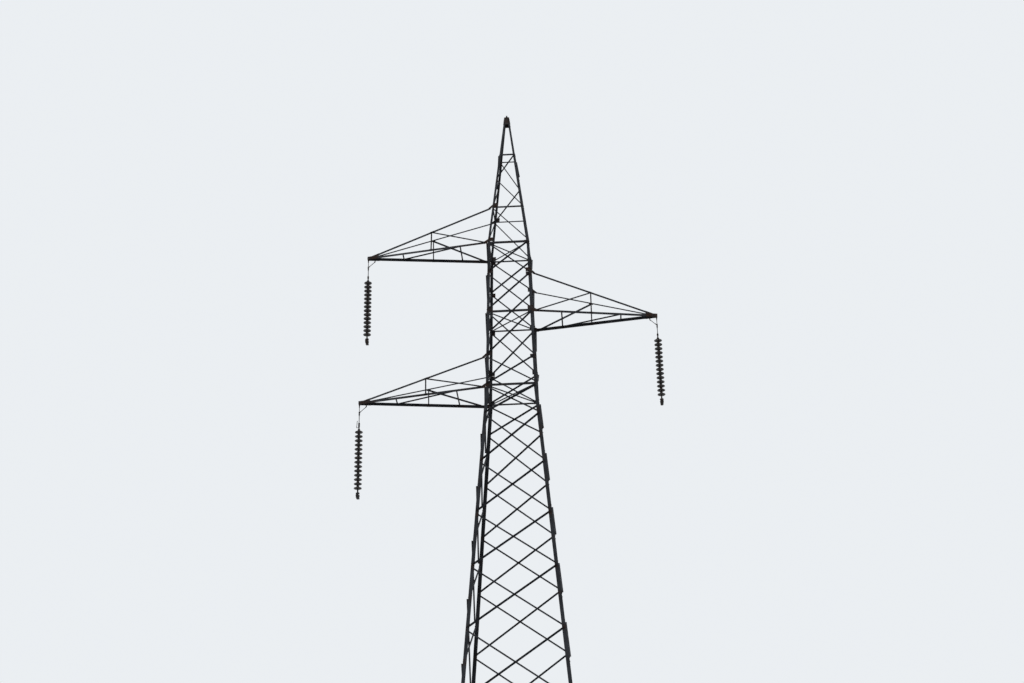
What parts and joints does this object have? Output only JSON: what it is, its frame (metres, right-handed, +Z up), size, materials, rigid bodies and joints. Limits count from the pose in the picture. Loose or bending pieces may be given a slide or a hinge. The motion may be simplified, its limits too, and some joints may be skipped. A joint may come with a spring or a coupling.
{
  "type": "lattice transmission pylon",
  "caption": "Tall steel lattice pylon with three triangular arms, each with a hanging insulator string, on a square tapered body with four splayed legs.",
  "frame": {"origin": "centre of the square base at ground level, on the tower's axis", "axes": "+Z up, X along the arms with the single right arm at +X, Y along the line"},
  "size_m": [9.854, 6.1816, 34.674],
  "materials": {
    "leg_steel": "weathered galvanised angle, dull and dark",
    "bracing_steel": "weathered galvanised angle",
    "arm_steel": "weathered galvanised angle",
    "plate_steel": "galvanised plate browned with rust",
    "fitting_iron": "dull forged and cast iron",
    "porcelain": "dark brown glaze",
    "concrete": "cast concrete"
  },
  "bodies": {
    "tower": {"lower_legs": "leg_steel", "waist_legs": "leg_steel", "peak_legs": "leg_steel", "top_legs": "leg_steel", "lower_bracing_front": "bracing_steel", "waist_bracing_front": "bracing_steel", "lower_bracing_right": "bracing_steel", "waist_bracing_right": "bracing_steel", "lower_bracing_back": "bracing_steel", "waist_bracing_back": "bracing_steel", "lower_bracing_left": "bracing_steel", "waist_bracing_left": "bracing_steel", "belt": "bracing_steel", "belt_diamond": "bracing_steel", "portal_bracing": "bracing_steel", "waist_rings": "bracing_steel", "peak_bracing": "bracing_steel", "peak_rings": "bracing_steel", "waist_gussets": "plate_steel", "arm_root_plates": "plate_steel", "base_plates": "plate_steel", "peak_cap": "plate_steel", "footings": "concrete", "earth_wire_clamp": "fitting_iron", "upper_left_arm_bottom_frame": "arm_steel", "upper_left_arm_top_chords": "arm_steel", "upper_left_arm_web_members": "arm_steel", "upper_left_arm_tip_plates": "plate_steel", "right_arm_bottom_frame": "arm_steel", "right_arm_top_chords": "arm_steel", "right_arm_web_members": "arm_steel", "right_arm_tip_plates": "plate_steel", "lower_left_arm_bottom_frame": "arm_steel", "lower_left_arm_top_chords": "arm_steel", "lower_left_arm_web_members": "arm_steel", "lower_left_arm_tip_plates": "plate_steel"},
    "upper_left_hanger": {"upper_left_string_hanger": "fitting_iron"},
    "upper_left_string": {"upper_left_string_fittings": "fitting_iron", "upper_left_string_discs": "porcelain"},
    "upper_left_clamp": {"upper_left_string_clamp": "fitting_iron"},
    "right_hanger": {"right_string_hanger": "fitting_iron"},
    "right_string": {"right_string_fittings": "fitting_iron", "right_string_discs": "porcelain"},
    "right_clamp": {"right_string_clamp": "fitting_iron"},
    "lower_left_hanger": {"lower_left_string_hanger": "fitting_iron"},
    "lower_left_string": {"lower_left_string_fittings": "fitting_iron", "lower_left_string_discs": "porcelain"},
    "lower_left_clamp": {"lower_left_string_clamp": "fitting_iron"}
  },
  "joints": [
    {"name": "upper_left_hanger_swing", "type": "hinge", "parent": "tower", "child": "upper_left_hanger", "pos_m": [-4.7, 0, 29.25], "axis": [1, 0, 0], "range_deg": [-35, 35]},
    {"name": "upper_left_string_swing", "type": "hinge", "parent": "upper_left_hanger", "child": "upper_left_string", "pos_m": [-4.7, 0, 28.965], "axis": [0, 1, 0], "range_deg": [-45, 45]},
    {"name": "upper_left_clamp_tilt", "type": "hinge", "parent": "upper_left_string", "child": "upper_left_clamp", "pos_m": [-4.7, 0, 26.285], "axis": [1, 0, 0], "range_deg": [-25, 25]},
    {"name": "right_hanger_swing", "type": "hinge", "parent": "tower", "child": "right_hanger", "pos_m": [4.7, 0, 26.65], "axis": [1, 0, 0], "range_deg": [-35, 35]},
    {"name": "right_string_swing", "type": "hinge", "parent": "right_hanger", "child": "right_string", "pos_m": [4.7, 0, 26.365], "axis": [0, 1, 0], "range_deg": [-45, 45]},
    {"name": "right_clamp_tilt", "type": "hinge", "parent": "right_string", "child": "right_clamp", "pos_m": [4.7, 0, 23.711], "axis": [1, 0, 0], "range_deg": [-25, 25]},
    {"name": "lower_left_hanger_swing", "type": "hinge", "parent": "tower", "child": "lower_left_hanger", "pos_m": [-4.9, 0, 24], "axis": [1, 0, 0], "range_deg": [-35, 35]},
    {"name": "lower_left_string_swing", "type": "hinge", "parent": "lower_left_hanger", "child": "lower_left_string", "pos_m": [-4.9, 0, 23.715], "axis": [0, 1, 0], "range_deg": [-45, 45]},
    {"name": "lower_left_clamp_tilt", "type": "hinge", "parent": "lower_left_string", "child": "lower_left_clamp", "pos_m": [-4.9, 0, 20.951], "axis": [1, 0, 0], "range_deg": [-25, 25]}
  ]
}
